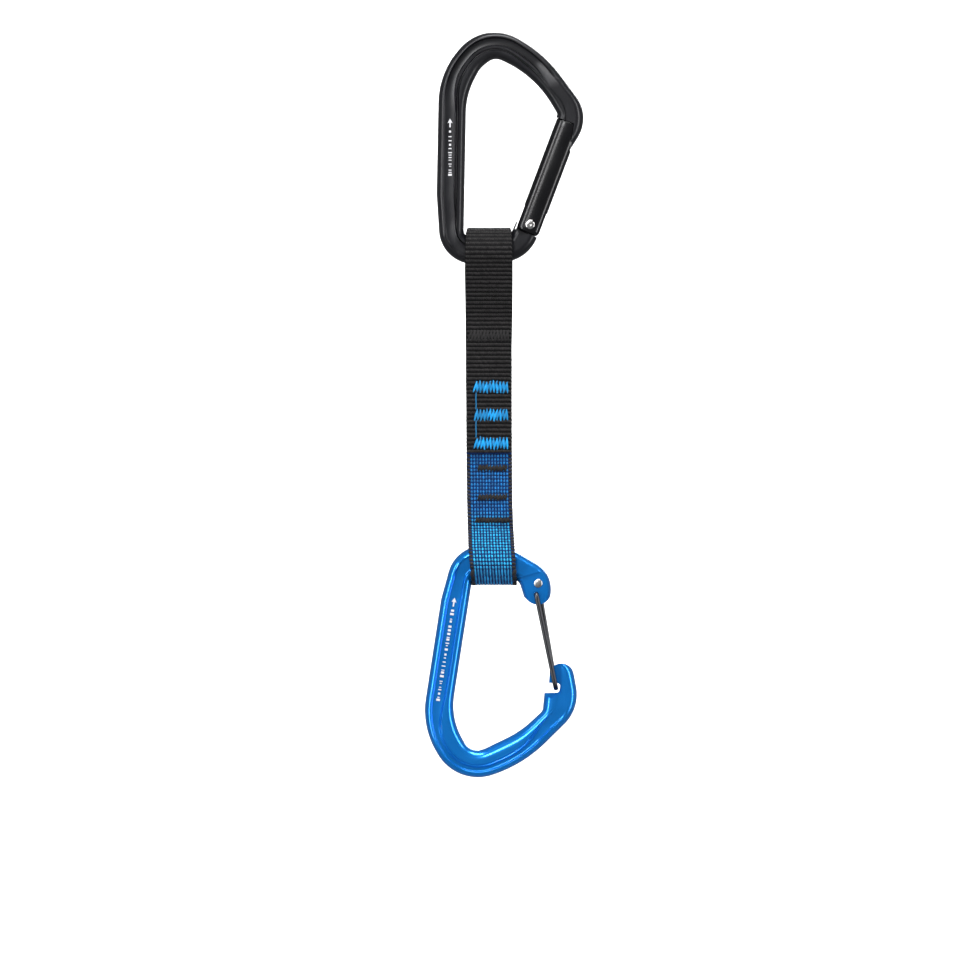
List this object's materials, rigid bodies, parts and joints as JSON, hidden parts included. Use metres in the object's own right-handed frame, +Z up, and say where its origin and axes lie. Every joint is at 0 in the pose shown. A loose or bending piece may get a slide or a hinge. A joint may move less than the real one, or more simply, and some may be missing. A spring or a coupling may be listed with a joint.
{
  "type": "climbing quickdraw",
  "caption": "Quickdraw: a dark solid-gate carabiner and a blue wire-gate carabiner joined by a sewn webbing sling that swings at both bars.",
  "frame": {"origin": "seat for the hanger: inside of the top bend of the upper carabiner, mid thickness", "axes": "+Z up along the hanging quickdraw, +X towards the gates, +Y into the depth, across the flat of the carabiners"},
  "size_m": [0.0682, 0.02, 0.3202],
  "materials": {
    "bolt_alloy": "satin anodised",
    "gate_alloy": "glossy anodised",
    "rope_alloy": "glossy anodised",
    "steel": "polished",
    "wire_steel": "satin",
    "webbing": "woven, black face and blue face",
    "thread_black": "thread",
    "thread_blue": "thread",
    "keeper_rubber": "matt"
  },
  "bodies": {
    "bolt_carabiner": {"bolt_carabiner_body": "bolt_alloy", "bolt_gate_rivet": "steel"},
    "gate": {"bolt_gate": "gate_alloy", "bolt_gate_spring": "steel"},
    "plunger": {"bolt_gate_plunger": "steel"},
    "sling": {"sling_webbing": "webbing", "rope_end_keeper": "keeper_rubber", "bar_tack_1": "thread_black", "bar_tack_2": "thread_blue", "bar_tack_3": "thread_blue", "bar_tack_4": "thread_blue", "bar_tack_5": "thread_black", "bar_tack_6": "thread_black", "bar_tack_7": "thread_black"},
    "rope_carabiner": {"rope_carabiner_body": "rope_alloy"},
    "rope_gate": {"rope_wire_gate": "wire_steel"}
  },
  "joints": [
    {"name": "bolt_gate_hinge", "type": "hinge", "parent": "bolt_carabiner", "child": "gate", "pos_m": [0.0146, 0, -0.0711], "axis": [0, -1, 0], "range_deg": [0, 27], "stiffness_Nm_per_rad": 0.12, "springref_deg": -68.75},
    {"name": "plunger_slide", "type": "slide", "parent": "gate", "child": "plunger", "axis": [0.3535, 0, 0.9354], "range_m": [0, 0.00165], "deforming": ["bolt_gate_spring"]},
    {"name": "sling_swing", "type": "hinge", "parent": "bolt_carabiner", "child": "sling", "pos_m": [-0.003, 0, -0.0823], "axis": [1, 0, 0], "range_deg": [-110, 110], "deforming": ["sling_webbing"]},
    {"name": "rope_carabiner_swing", "type": "hinge", "parent": "sling", "child": "rope_carabiner", "pos_m": [-0.0015, 0, -0.2159], "axis": [1, 0, 0], "range_deg": [-95, 95], "deforming": ["rope_end_keeper"]},
    {"name": "rope_gate_hinge", "type": "hinge", "parent": "rope_carabiner", "child": "rope_gate", "pos_m": [0.01769, 0, -0.22743], "axis": [0, 1, 0], "range_deg": [0, 34], "stiffness_Nm_per_rad": 0.08, "springref_deg": -57.3, "deforming": ["rope_wire_gate"]}
  ],
  "couplings": [
    {"joint": "plunger_slide", "follows": "bolt_gate_hinge", "m_per_rad": 0.003395}
  ]
}
